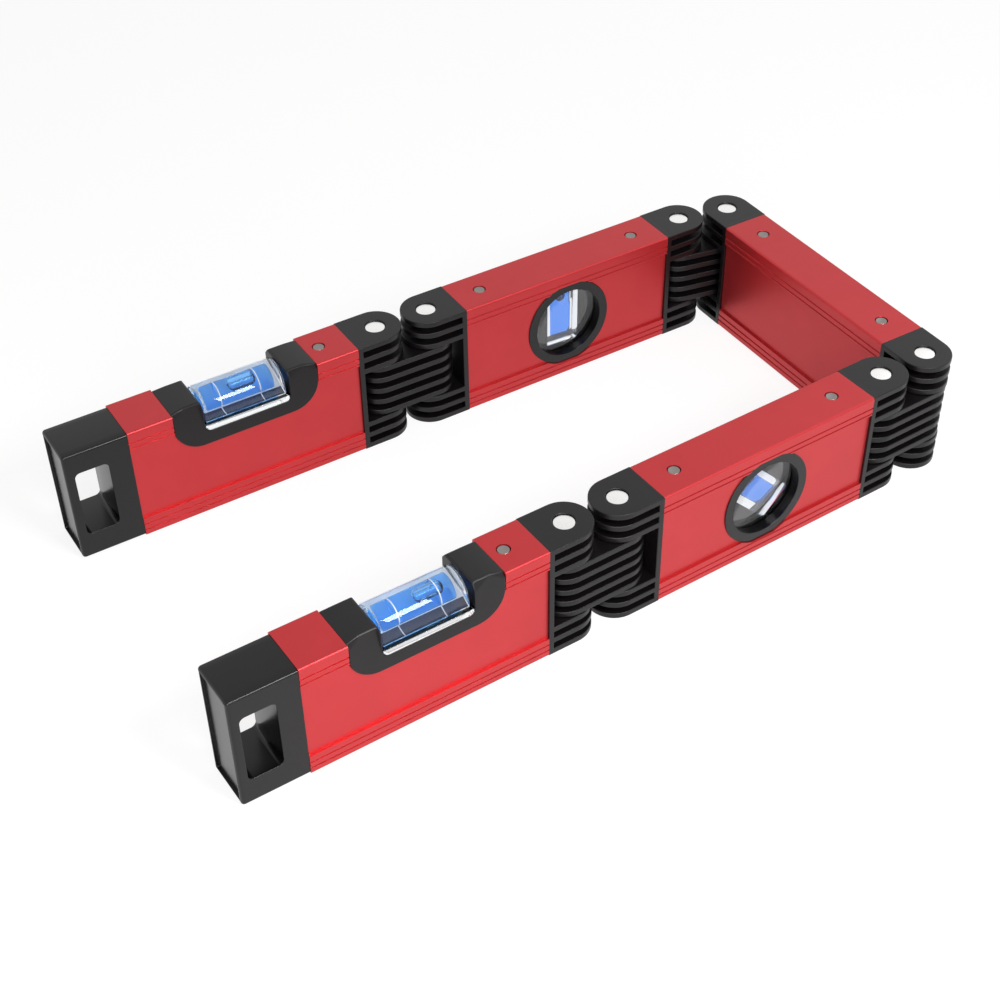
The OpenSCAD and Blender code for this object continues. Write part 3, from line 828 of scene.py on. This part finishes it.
@dataclass
class Hinges:
    """The forks and links of every joint, and the turned pins in them."""
    ribs: Ribs = field(default_factory=Ribs)
    pin_radius: float = 2.5
    head_radius: float = 3.8
    head_height: float = 1.4
    head_sunk: float = 0.6
    head_chamfer: float = 0.12
    head_dome: float = 0.12
    dome_bend: float = 0.6
    retainer_radius: float = 2.34
    retainer_sunk: float = 0.3
    retainer_chamfer: float = 0.3
    retainer_from_pivot: float = 24.1
    # The dish in a retaining pin's end: radii as parts of the rim's, and depths.
    dish_parts: Point = (0.7, 0.9)
    dish_depths: Point = (0.15, 0.12)

    def build(self, places: dict[str, Place]) -> None:
        """Build the brackets, links, hinge pins and retaining pins of every body.

        Args:
            places: The places by the name of the body.
        """
        turn_back = Matrix.Translation((MIDDLE_SPAN * MM, 0, 0)) @ Matrix.Rotation(pi, 4, "Z")
        for body, place in places.items():
            number = body[-1]
            far = Place(body, place.axes @ turn_back)
            if body.startswith("link"):
                Piece(f"double_{body}", place, Finish.NYLON, (body,)).add(DoubleLink(self.ribs).shape())
                continue
            forks = {"1": [""], "5": [""], "3": ["_rear", "_front"]}.get(number, ["_left", "_right"])
            for side, stand in zip(forks, (place, far)):
                Piece(f"fork_{number}{side}", stand, Finish.NYLON, (f"bracket_{number}{side}",)).add(
                    Fork(self.ribs).shape())
            plural = "" if number in "15" else "s"
            stations = (self.retainer_from_pivot, MIDDLE_SPAN - self.retainer_from_pivot)[:len(forks)]
            self.pins(place, f"hinge_pin{plural}_{number}", self.hinge_outline(),
                      (0.0, MIDDLE_SPAN)[:len(forks)], Finish.PLATED_STEEL)
            self.pins(place, f"retaining_pin{plural}_{number}", self.retainer_outline(), stations,
                      Finish.PLAIN_STEEL)

    def pins(self, place: Place, node: str, outline: list[Point], stations: Iterable[float],
             finish: Finish) -> None:
        """Turn one pin for each station along a segment.

        Args:
            place: The segment's place.
            node: The node that the pins stand for.
            outline: Radius and height along the pin.
            stations: Where the pins stand along the segment.
            finish: The pins' finish.
        """
        for count, station in enumerate(stations, 1):
            stand = Place(place.body, place.axes @ Matrix.Translation((station * MM, 0, 0)))
            Piece(f"turned_{node}_{count}", stand, finish, (node,)).add(turned(outline))

    def hinge_outline(self) -> list[Point]:
        """Outline of a headed hinge pin.

        Returns:
            Radius and height of each point, from the lower end up.
        """
        low, rim = self.head_sunk, self.head_radius - self.head_chamfer
        return self.both_ends([
            (0.0, low - self.head_dome), (rim * self.dome_bend, low - self.head_dome * self.dome_bend),
            (rim, low), (self.head_radius, low + self.head_chamfer),
            (self.head_radius, low + self.head_height), (self.pin_radius, low + self.head_height)])

    def retainer_outline(self) -> list[Point]:
        """Outline of a retaining pin, with a shallow dish in each end.

        Returns:
            Radius and height of each point, from the lower end up.
        """
        low, rim = self.retainer_sunk, self.retainer_radius - self.retainer_chamfer
        (floor, mouth), (middle, bend) = self.dish_parts, self.dish_depths
        return self.both_ends([
            (0.0, low + middle), (rim * floor, low + bend), (rim * mouth, low), (rim, low),
            (self.retainer_radius, low + self.retainer_chamfer)])

    @staticmethod
    def both_ends(end: list[Point]) -> list[Point]:
        """A pin's whole outline from that of its lower end: the upper one is the same."""
        return end + [(radius, LEVEL_H - height) for radius, height in reversed(end)]


@dataclass
class EndCap:
    """A moulded end cap: a windowed block, a shallow recess in its end, and a plug in the profile."""
    start: float = 105.0
    end: float = 129.5
    half: float = 9.7
    foot: float = 0.3
    head: float = 47.7
    corner: float = 0.9
    end_edge: float = 1.2
    bevel: Point = (3.0, 0.3)
    rim: float = 1.5
    sink: float = 1.0
    recess_corner: float = 0.5
    recess_draft: float = 0.12
    recess_bend: Point = (0.3, 0.1)
    window_low: Point = (113.5, 10.5)
    window_high: Point = (126.1, 38.5)
    window_corner: float = 2.0
    window_edge: float = 0.25
    draft: float = 0.6
    plug_from: float = 96.0
    plug_edge: float = 0.4
    plug_gap: float = 0.02

    def outline(self) -> list[Point]:
        """The block's section, with a shallow bevel along both sides of its top.

        Returns:
            Its points, anticlockwise from the lower left corner.
        """
        half, (across, down) = self.half, self.bevel
        lower = corners((-half, self.foot), (half, self.head - down), self.corner)
        count = len(lower) // 2
        ridge = [(half - across, self.head), (across - half, self.head)]
        return [*lower[:count + count // 2], *ridge, *lower[count + count // 2:]]

    def shape(self) -> bmesh.types.BMesh:
        """Mould the cap.

        Returns:
            The block with its window and recess, and the plug.
        """
        bar = Moulding(Lie.ENDWISE)
        outline, floor = self.outline(), self.end - self.sink
        rings = [bar.ring(outline, self.start)]
        rings += [bar.ring(outline, self.end - short, rim) for rim, short in rounding(self.end_edge)]
        bar.wall(rings)
        bar.fill([rings[0]])
        recess = corners((self.rim - self.half, self.foot + self.rim),
                         (self.half - self.rim, self.head - self.rim), self.recess_corner, 4)
        bend, rise = self.recess_bend
        mouth = [bar.ring(recess, self.end), bar.ring(recess, floor + rise, self.recess_draft),
                 bar.ring(recess, floor, bend)]
        bar.wall(mouth)
        bar.fill([mouth[-1]])
        bar.fill([rings[-1], mouth[0]])
        self.cut_window(bar)
        bar.slab(corners(*BORE), self.plug_from, self.start - self.plug_gap, 0.0, self.plug_edge)
        return bar.done()

    def cut_window(self, bar: Moulding) -> None:
        """Cut the drafted window through the block's two sides.

        Args:
            bar: The moulding that holds the block.
        """
        outline = corners(self.window_low, self.window_high, self.window_corner, 8)
        side = Moulding(Lie.SIDEWAYS, bar.shape)
        rims = [(-rim, self.half - short) for rim, short in reversed(rounding(self.window_edge))]
        levels = [*rims, (self.draft, 0.0), *((rim, -level) for rim, level in reversed(rims))]
        rings = [side.ring(outline, level, rim) for rim, level in levels]
        side.wall(rings)
        for ring, sign in ((rings[0], -1), (rings[-1], 1)):
            plane = sign * self.half * MM
            walls = [face for face in bar.shape.faces if len(face.verts) == 4
                     and all(abs(vert.co.y - plane) < FLATNESS_M for vert in face.verts)]
            wall = max(walls, key=lambda face: face.calc_area())
            loop = list(wall.verts)
            bmesh.ops.delete(bar.shape, geom=[wall], context="FACES_ONLY")
            side.fill([loop, ring])

    def build(self, place: Place, number: int) -> None:
        """Build the cap of a free end."""
        Piece(f"windowed_cap_{number}", place, Finish.SATIN_NYLON, (f"end_cap_{number}",)).add(self.shape())


@dataclass
class Saddle:
    """The cradle of a top vial: a U of black nylon in the profile's cut-out, with chamfered shoulders."""
    middle: float = 58.75
    half_len: float = 28.9
    foot: float = 30.6
    bend: float = 10.9
    rail: float = 48.0
    top: float = 48.8
    ramp: float = 5.0
    half: float = 9.995
    shoulder: Point = (2.2, 2.6)
    seat_half: float = 17.15
    seat_floor: float = 36.4
    seat_bend: float = 2.2
    lip: float = 1.1
    edge: float = 0.45

    def outline(self) -> list[Point]:
        """The side of the saddle, anticlockwise from its lower left bend.

        Returns:
            Its points, along the segment and up.
        """
        left, right = self.middle - self.half_len, self.middle + self.half_len
        near, far = self.middle - self.seat_half, self.middle + self.seat_half
        neck = self.top - self.shoulder[1]
        return [
            *arc((left + self.bend, self.foot + self.bend), self.bend, 180, 270, 16),
            *arc((right - self.bend, self.foot + self.bend), self.bend, 270, 360, 16),
            (right, neck), (right, self.rail), (right - self.ramp, self.top),
            *arc((far + self.lip, self.top - self.lip), self.lip, 90, 180, 5), (far, neck),
            *arc((far - self.seat_bend, self.seat_floor + self.seat_bend), self.seat_bend, 0, -90, 6),
            *arc((near + self.seat_bend, self.seat_floor + self.seat_bend), self.seat_bend, 270, 180, 6),
            (near, neck), *arc((near - self.lip, self.top - self.lip), self.lip, 0, 90, 5),
            (left + self.ramp, self.top), (left, self.rail), (left, neck)]

    def shape(self) -> bmesh.types.BMesh:
        """Mould the saddle, and lean the sides of its shoulders in.

        Returns:
            A closed mesh.
        """
        bar = Moulding(Lie.SIDEWAYS).slab(self.outline(), -self.half, self.half, self.edge)
        across, down = self.shoulder
        neck = self.top - down
        everything = [*bar.shape.verts, *bar.shape.edges, *bar.shape.faces]
        bmesh.ops.bisect_plane(bar.shape, geom=everything, dist=FLATNESS_M, plane_co=(0, 0, neck * MM),
                               plane_no=(0, 0, 1))
        for vert in bar.shape.verts:
            above = vert.co.z / MM - neck
            if above > 0 and abs(vert.co.y) > self.half / 2 * MM:
                lean = above * across / down * MM
                vert.co.y -= lean if vert.co.y > 0 else -lean
        return bar.done()


@dataclass
class TopVial:
    """The vial in the top edge: saddle, clear plate, crowned block, liquid, bubble, printing and a slate
    layer of painted shade.
    """
    number: int
    bubble_off: float
    middle: float = 58.75
    block_len: float = 32.5
    block_w: float = 16.6
    block_edge: float = 0.5
    base: float = 39.0
    crown: float = 48.9
    axis_z: float = 42.6
    tube_radius: float = 3.4
    chamber_end: float = 3.0
    liquid_edge: float = 0.3
    bubble_len: float = 11.0
    bubble_radius: float = 1.95
    bubble_sunk: float = 0.12
    ring_apart: float = 15.5
    ring_w: float = 0.42
    ink_t: float = 0.05
    slack: float = 0.02
    plate_half: float = 17.05
    plate_z: Point = (36.5, 38.9)
    plate_w: float = 19.8
    plate_bend: float = 2.1
    plate_edge: float = 0.12
    backing_to: float = 1.5
    backing_margin: float = 0.15
    backing_end: float = 0.45
    clear_edge: float = 0.8

    def build(self, place: Place) -> None:
        """Build and dress the vial's pieces.

        Args:
            place: The segment's place.
        """
        key = self.number
        Piece(f"vial_saddle_{key}", place, Finish.NYLON, (f"cradle_{key}",)).add(Saddle().shape())
        Piece(f"clear_plate_{key}", place, Finish.ACRYLIC, (f"vial_plate_{key}",)).add(self.plate())
        Piece(f"crowned_block_{key}", place, Finish.ACRYLIC, (f"vial_block_{key}",)).add(self.block())
        Piece(f"blue_liquid_{key}", place, Finish.PALE_LIQUID, (f"vial_liquid_{key}",)).add(self.liquid())
        Piece(f"bubble_{key}", place, Finish.BUBBLE).add(self.bubble())
        far, near = self.backing_margin - self.block_w / 2, self.block_w / 2 - self.clear_edge
        reach = self.block_len / 2 - self.backing_end
        Piece(f"vial_backing_{key}", place, Finish.INK).add(
            self.print_and_shade_layer(self.middle, reach, far, self.backing_to))
        # The slate layer is painted shade: dark ink where the front of the block looks dark.
        Piece(f"vial_shade_{key}", place, Finish.SLATE_INK).add(
            self.print_and_shade_layer(self.middle, reach, self.backing_to, near))
        for side, end in ((-1, "near"), (1, "far")):
            at = self.middle + side * self.ring_apart / 2
            Piece(f"vial_ring_{key}_{end}", place, Finish.INK).add(self.ring(at))
            Piece(f"vial_mark_{key}_{end}", place, Finish.INK).add(
                self.print_and_shade_layer(at, self.ring_w / 2, self.backing_to, near, level=1))

    def print_and_shade_layer(self, at: float, reach: float, far: float, near: float,
                    level: int = 0) -> bmesh.types.BMesh:
        """A layer of ink on the block's underside: white print, or the slate layer of painted shade.

        Args:
            at: Its middle along the segment.
            reach: Half of its length.
            far: Its edge away from the photograph's camera, from the block's middle.
            near: Its other edge.
            level: How many layers it lies on.

        Returns:
            A thin closed slab.
        """
        low = self.base + self.slack + level * (self.ink_t + self.slack)
        outline = [(at - reach, far), (at + reach, far), (at + reach, near), (at - reach, near)]
        return Moulding(Lie.FLAT).slab(outline, low, low + self.ink_t, 0.0).done()

    def plate(self) -> bmesh.types.BMesh:
        """The clear plate under the block, with its lower corners rounded like the seat's.

        Returns:
            A closed mesh.
        """
        left, right = self.middle - self.plate_half, self.middle + self.plate_half
        (low, high), bend, half = self.plate_z, self.plate_bend, self.plate_w / 2
        outline = [*arc((left + bend, low + bend), bend, 180, 270, 10),
                   *arc((right - bend, low + bend), bend, 270, 360, 10), (right, high), (left, high)]
        return Moulding(Lie.SIDEWAYS).slab(outline, -half, half, self.plate_edge).done()

    def bar(self, outline: Sequence[Point], reach: float, edge: float) -> bmesh.types.BMesh:
        """A bar along the segment that reaches as far to either side of the vial's middle."""
        return Moulding(Lie.ENDWISE).slab(outline, self.middle - reach, self.middle + reach, edge).done()

    def block(self) -> bmesh.types.BMesh:
        """The solid block: a half-round crown on a short straight base.

        Returns:
            A closed mesh.
        """
        half = self.block_w / 2
        crown = arc((0, self.crown - half), half, 0, 180, 48)
        return self.bar([(-half, self.base), (half, self.base), *crown], self.block_len / 2, self.block_edge)

    def liquid(self) -> bmesh.types.BMesh:
        """The bar of liquid in the chamber."""
        return self.bar(circle((0, self.axis_z), self.tube_radius), self.block_len / 2 - self.chamber_end,
                        self.liquid_edge)

    def bubble(self) -> bmesh.types.BMesh:
        """The bubble: a capsule just under the liquid's top.

        Returns:
            A closed mesh.
        """
        shape = turned(capsule(self.bubble_len, self.bubble_radius), steps=32)
        lift = self.axis_z + self.tube_radius - self.bubble_radius - self.bubble_sunk
        shape.transform(Matrix.Translation(Vector((self.middle - self.bubble_off, 0, lift)) * MM)
                        @ Matrix.Rotation(pi / 2, 4, "Y"))
        return shape

    def ring(self, at: float) -> bmesh.types.BMesh:
        """A thin closed band of ink round the liquid, at a distance along the segment.

        Args:
            at: Its middle along the segment, in mm.

        Returns:
            The band.
        """
        half, inner = self.ring_w / 2, self.tube_radius + self.slack
        outer = inner + self.ink_t
        band = Moulding(Lie.ENDWISE)
        rings = [band.ring(circle((0, self.axis_z), radius), at + x)
                 for x, radius in ((-half, inner), (half, inner), (half, outer), (-half, outer))]
        band.wall([*rings, rings[0]])
        return band.done()


@dataclass
class RoundVial:
    """The vial through the side panels: bezels, lens, and a black housing with the vial in its pocket."""
    number: int
    tube_deg: float
    tube_off: float = 0.0
    middle_z: float = 24.0
    bezel_edge: float = 0.2
    disc_radius: float = 16.4
    disc_half: float = 5.8
    lens_t: float = 1.7
    lens_edge: float = 0.7
    lens_rear_edge: float = 0.05
    # Length and width of the pocket where the rim at the back of the housing borders it.
    pocket: Point = (22.2, 14.5)
    pocket_corner: float = 1.0
    rim_t: float = 0.5
    rim_edge: float = 0.1
    # In front of the rim the pocket is as long as the vial.
    vial_len: float = 25.0
    vial_edge: float = 0.12
    tube_wall: float = 0.9
    tube_len: float = 20.0
    tube_edge: float = 0.2
    bubble_radius: float = 2.0
    bubble_len: float = 4.2
    bubble_from_end: float = 0.3
    slack: float = 0.03

    def build(self, place: Place) -> None:
        """Build and dress the vial's pieces.

        Args:
            place: The segment's place.
        """
        key, slack = self.number, self.slack
        for side in ("front", "back"):
            node = f"bezel_{key}_{side}"
            Piece(f"round_bezel_{key}_{side}", place, Finish.GLOSS_NYLON, (node,)).add(
                node_shape(node, place), self.bezel_edge)
        disc, front, rim = self.disc(), self.front, self.disc_half - self.rim_t
        short, long = self.pocket[0] / 2, self.vial_len / 2
        Piece(f"vial_housing_{key}", place, Finish.SATIN_NYLON, (f"mask_{key}",)).add(
            self.plate(disc, front + slack, rim, 0.0, holes=[self.pocket_outline(long, 0.0)]))
        Piece(f"housing_rim_{key}", place, Finish.SATIN_NYLON).add(
            self.plate(disc, rim + slack, self.disc_half - slack, self.rim_edge,
                       holes=[self.pocket_outline(short, 0.0)]))
        Piece(f"clear_lens_{key}", place, Finish.ACRYLIC, (f"lens_{key}",)).add(
            self.plate(disc, slack - self.disc_half, front - slack, self.lens_edge, self.lens_rear_edge))
        Piece(f"clear_vial_{key}", place, Finish.ACRYLIC, (f"vial_disc_{key}",)).add(
            self.plate(self.pocket_outline(long, slack), front + slack, rim - slack, self.vial_edge))
        Piece(f"blue_tube_{key}", place, Finish.LIQUID, (f"disc_liquid_{key}",)).add(
            self.tilted(self.tube_shape()), self.tube_edge)
        Piece(f"tube_bubble_{key}", place, Finish.BUBBLE).add(self.tilted(self.bubble_shape()))

    @property
    def front(self) -> float:
        """Front of the housing, behind the lens."""
        return self.lens_t - self.disc_half

    @property
    def tube_y(self) -> float:
        """Where the tube's axis stands across the level."""
        return (self.front + self.disc_half) / 2

    @property
    def tube_radius(self) -> float:
        """Radius of the liquid tube."""
        return (self.disc_half - self.front) / 2 - self.tube_wall

    def disc(self) -> list[Point]:
        """Outline of the lens and housing."""
        return circle((MIDDLE_SPAN / 2, self.middle_z), self.disc_radius, 96)

    def pocket_outline(self, reach: float, gap: float) -> list[Point]:
        """Outline of the pocket, reaching a length each way along the tube, drawn in by a gap.

        Args:
            reach: Half of its length along the tube, in mm.
            gap: How far it is drawn in all round, in mm.

        Returns:
            Its points in X and Z.
        """
        long, wide = reach - gap, self.pocket[1] / 2 - gap
        lean = Matrix.Rotation(radians(-self.tube_deg), 2)
        middle = Vector((MIDDLE_SPAN / 2, self.middle_z))
        return [tuple(middle + lean @ Vector(point))
                for point in corners((-long, -wide), (long, wide), self.pocket_corner)]

    def plate(self, outline: Sequence[Point], front: float, back: float, edge: float,
              rear_edge: float | None = None, holes: Iterable[Sequence[Point]] = ()) -> bmesh.types.BMesh:
        """A slab across the level between two distances from its middle plane.

        Args:
            outline: Its outline in X and Z.
            front: Its face on the lens's side.
            back: Its other face.
            edge: Rounding of its rims.
            rear_edge: Rounding of the rim at the back, where that differs.
            holes: Outlines of holes.

        Returns:
            A closed mesh.
        """
        return Moulding(Lie.SIDEWAYS).slab(outline, -back, -front, edge, rear_edge, holes).done()

    def tube_shape(self) -> bmesh.types.BMesh:
        """The bar of liquid along Z, centred on zero."""
        half, radius = self.tube_len / 2, self.tube_radius
        return turned([(0.0, -half), (radius, -half), (radius, half), (0.0, half)])

    def bubble_shape(self) -> bmesh.types.BMesh:
        """The bubble at the upper end of the tube.

        Returns:
            A capsule along Z.
        """
        shape = turned(capsule(self.bubble_len, self.bubble_radius), steps=32)
        lift = self.tube_len / 2 - self.bubble_len / 2 - self.bubble_from_end
        shape.transform(Matrix.Translation((0, 0, lift * MM)))
        return shape

    def tilted(self, shape: bmesh.types.BMesh) -> bmesh.types.BMesh:
        """Turn what stands along Z to the tube's angle and set it in the middle of the housing.

        Args:
            shape: What stands along Z, centred on zero.

        Returns:
            The same shape, turned and moved.
        """
        middle = Vector((MIDDLE_SPAN / 2 + self.tube_off, self.tube_y, self.middle_z))
        shape.transform(Matrix.Translation(middle * MM)
                        @ Matrix.Rotation(radians(self.tube_deg - 90), 4, "Y"))
        return shape


@dataclass(frozen=True)
class Softbox:
    """A square lamp: where it hangs and its side, in mm, and its power."""
    name: str
    at: tuple[float, float, float]
    size_mm: float
    watts: float

    def hang(self, target: Vector) -> None:
        """Hang the lamp so that it faces a point.

        Args:
            target: The point, in mm.
        """
        data = bpy.data.lights.new(self.name, "AREA")
        data.size = self.size_mm * MM
        data.energy = self.watts
        lamp = add_object(self.name, data)
        lamp.visible_camera = False
        lamp.location = Vector(self.at) * MM
        lamp.rotation_euler = (target - Vector(self.at)).to_track_quat("-Z", "Y").to_euler()


@dataclass
class Studio:
    """A white sweep with soft lamps, and the camera of the photograph."""
    lens_mm: float = 62.2
    sensor_mm: float = 36.0
    sight_mm: Point = (10.0, 50000.0)
    camera_at: tuple[float, float, float] = (-400.9, -420.4, 428.0)
    heading_deg: float = 58.98
    pitch_deg: float = 41.07
    roll_deg: float = -0.92
    sweep_mm: float = 6000.0
    floor_drop: float = 0.05
    # The paper as light meets it, and as the eye does: darker, with a glow that keeps the shadow soft.
    paper: str = "#e6e6e6"
    seen_paper: str = "#8c8c8c"
    glow: float = 0.82
    fill: float = 0.35
    ceiling: float = 0.85
    ceiling_from: Point = (0.60, 0.68)
    target: tuple[float, float, float] = (-160.0, 0.0, 20.0)
    lamps: tuple[Softbox, ...] = (Softbox("key softbox", (-450.0, -520.0, 200.0), 400.0, 2.4),
                                  Softbox("edge light", (-60.0, -450.0, 470.0), 200.0, 2.4),
                                  Softbox("side softbox", (700.0, 100.0, 700.0), 700.0, 1.0))

    def build(self) -> None:
        """Set up the camera, the floor, the world and the lamps."""
        self.camera()
        self.floor()
        self.world()
        for lamp in self.lamps:
            lamp.hang(Vector(self.target))

    def camera(self) -> None:
        """Stand the camera where the photograph was taken from."""
        data = bpy.data.cameras.new("photo camera")
        data.lens = self.lens_mm
        data.sensor_width = self.sensor_mm
        data.clip_start, data.clip_end = (reach * MM for reach in self.sight_mm)
        camera = add_object("photo camera", data)
        camera.matrix_world = (Matrix.Translation(Vector(self.camera_at) * MM)
                               @ Matrix.Rotation(radians(self.heading_deg - 90), 4, "Z")
                               @ Matrix.Rotation(radians(90 - self.pitch_deg), 4, "X")
                               @ Matrix.Rotation(radians(self.roll_deg), 4, "Z"))
        bpy.context.scene.camera = camera

    def floor(self) -> None:
        """Lay the white floor, which keeps the level's shadow."""
        shape = bmesh.new()
        bmesh.ops.create_grid(shape, x_segments=1, y_segments=1, size=self.sweep_mm / 2 * MM)
        bmesh.ops.translate(shape, verts=shape.verts, vec=(0, 0, -self.floor_drop * MM))
        floor = add_object("studio_floor", mesh_of("studio_floor", shape))
        material, tree = new_material("white_paper_sweep")
        plain = add_node(tree, "BsdfDiffuse", sockets={"Color": linear(self.paper)})
        seen = add_node(tree, "BsdfDiffuse", sockets={"Color": linear(self.seen_paper)})
        glow = add_node(tree, "Emission", sockets={"Color": (1, 1, 1, 1), "Strength": self.glow})
        lit = add_node(tree, "AddShader", links={0: seen.outputs[0], 1: glow.outputs[0]})
        both = add_node(tree, "MixShader",
                        links={0: self.seen_directly(tree), 1: plain.outputs[0], 2: lit.outputs[0]})
        add_node(tree, "OutputMaterial", links={"Surface": both.outputs[0]})
        floor.data.materials.append(material)

    def seen_directly(self, tree: bpy.types.NodeTree) -> bpy.types.NodeSocket:
        """One for camera, glossy and transmission rays, and zero for the rest.

        Args:
            tree: The node tree that takes the nodes.

        Returns:
            The value.
        """
        rays = add_node(tree, "LightPath").outputs
        pair = add_node(tree, "Math", {"operation": "MAXIMUM"},
                        links={0: rays["Is Camera Ray"], 1: rays["Is Glossy Ray"]})
        return add_node(tree, "Math", {"operation": "MAXIMUM"},
                        links={0: pair.outputs[0], 1: rays["Is Transmission Ray"]}).outputs[0]

    def world(self) -> None:
        """A white backdrop and a dimmer ceiling: as bright as that where seen, and softer as light."""
        world = bpy.data.worlds.new("white studio")
        world.use_nodes = True
        tree = world.node_tree
        tree.nodes.clear()
        way = add_node(tree, "TexCoord").outputs["Generated"]
        height = add_node(tree, "SeparateXYZ", links={0: way}).outputs["Z"]
        low, high = self.ceiling_from
        sweep = add_node(tree, "MapRange", links={"Value": height},
                         sockets={"From Min": low, "From Max": high, "To Min": 1.0,
                                  "To Max": self.ceiling}).outputs[0]
        strength = add_node(tree, "Mix", sockets={"A": self.fill},
                            links={"Factor": self.seen_directly(tree), "B": sweep}).outputs["Result"]
        sky = add_node(tree, "Background", sockets={"Color": (1, 1, 1, 1)}, links={"Strength": strength})
        add_node(tree, "OutputWorld", links={"Surface": sky.outputs[0]})
        bpy.context.scene.world = world


def main() -> None:
    """Build the studio and every sub-assembly."""
    logging.basicConfig(level=logging.INFO, format="%(message)s")
    bpy.context.scene.view_settings.view_transform = "Standard"
    Studio().build()
    places = layout()
    ProfileLengths().build(places)
    Hinges().build(places)
    for number in (1, 5):
        EndCap().build(places[f"segment_{number}"], number)
    TopVial(1, bubble_off=2.0).build(places["segment_1"])
    TopVial(5, bubble_off=5.0).build(places["segment_5"])
    RoundVial(2, tube_deg=90.0, tube_off=0.8).build(places["segment_2"])
    RoundVial(4, tube_deg=45.0).build(places["segment_4"])


if __name__ == "__main__":
    main()
